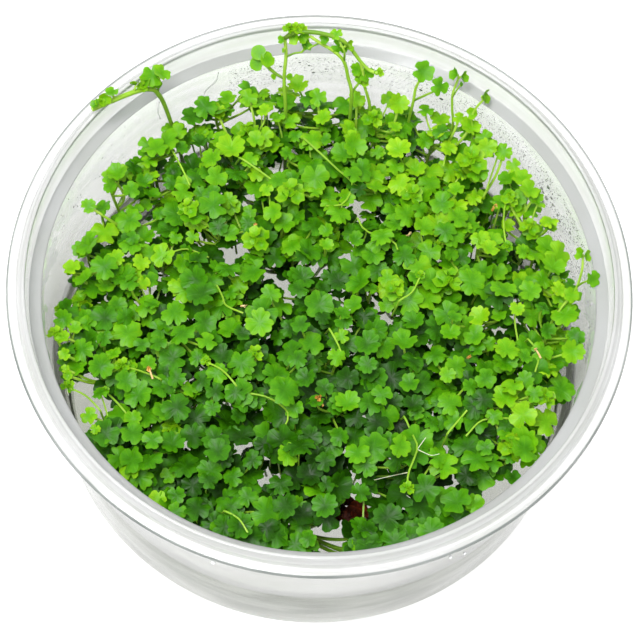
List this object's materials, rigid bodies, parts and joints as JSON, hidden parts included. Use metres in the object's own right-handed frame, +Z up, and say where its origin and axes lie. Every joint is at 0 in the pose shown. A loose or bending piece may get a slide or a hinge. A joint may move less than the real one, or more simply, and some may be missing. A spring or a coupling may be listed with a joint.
{
  "type": "pennywort in a culture cup",
  "caption": "Dwarf three-parted pennywort, a dense mat of small lobed leaves with a few runners, growing on gel in a clear round plastic culture cup.",
  "frame": {"origin": "middle of the cup's flat underside", "axes": "+Z up through the open mouth, +Y towards the back of the cup, where the tall shoots stand, +X to the right seen from the front"},
  "size_m": [0.118, 0.118, 0.0624],
  "materials": {
    "clear_plastic": "clear, thin-walled, moulded smooth",
    "gel": "milky clear set gel, wet",
    "leaf_deep": "deep green leaf, soft gloss",
    "leaf_green": "green leaf, soft gloss",
    "leaf_young": "yellow-green young leaf, soft gloss",
    "shoot": "pale green juicy stem",
    "withered": "withered brown leaf, dull"
  },
  "bodies": {
    "root": {"cup": "clear_plastic", "gel": "gel", "withered_leaves": "withered", "plantlet_01": "leaf_deep", "plantlet_02": "leaf_green", "plantlet_03": "leaf_green", "plantlet_04": "leaf_green", "plantlet_05": "leaf_green", "plantlet_06": "leaf_green", "plantlet_07": "leaf_young", "plantlet_08": "leaf_young", "plantlet_09": "leaf_young", "plantlet_10": "leaf_young", "plantlet_11": "leaf_young", "plantlet_12": "leaf_young", "plantlet_13": "leaf_young", "plantlet_14": "leaf_young", "plantlet_15": "leaf_young", "runner_over_rim": "shoot", "arch_stem": "shoot", "arch_top": "shoot", "arch_tip": "shoot", "back_shoot_1": "shoot", "back_shoot_2": "shoot", "back_shoot_3": "shoot", "right_shoot": "shoot"}
  },
  "joints": []
}
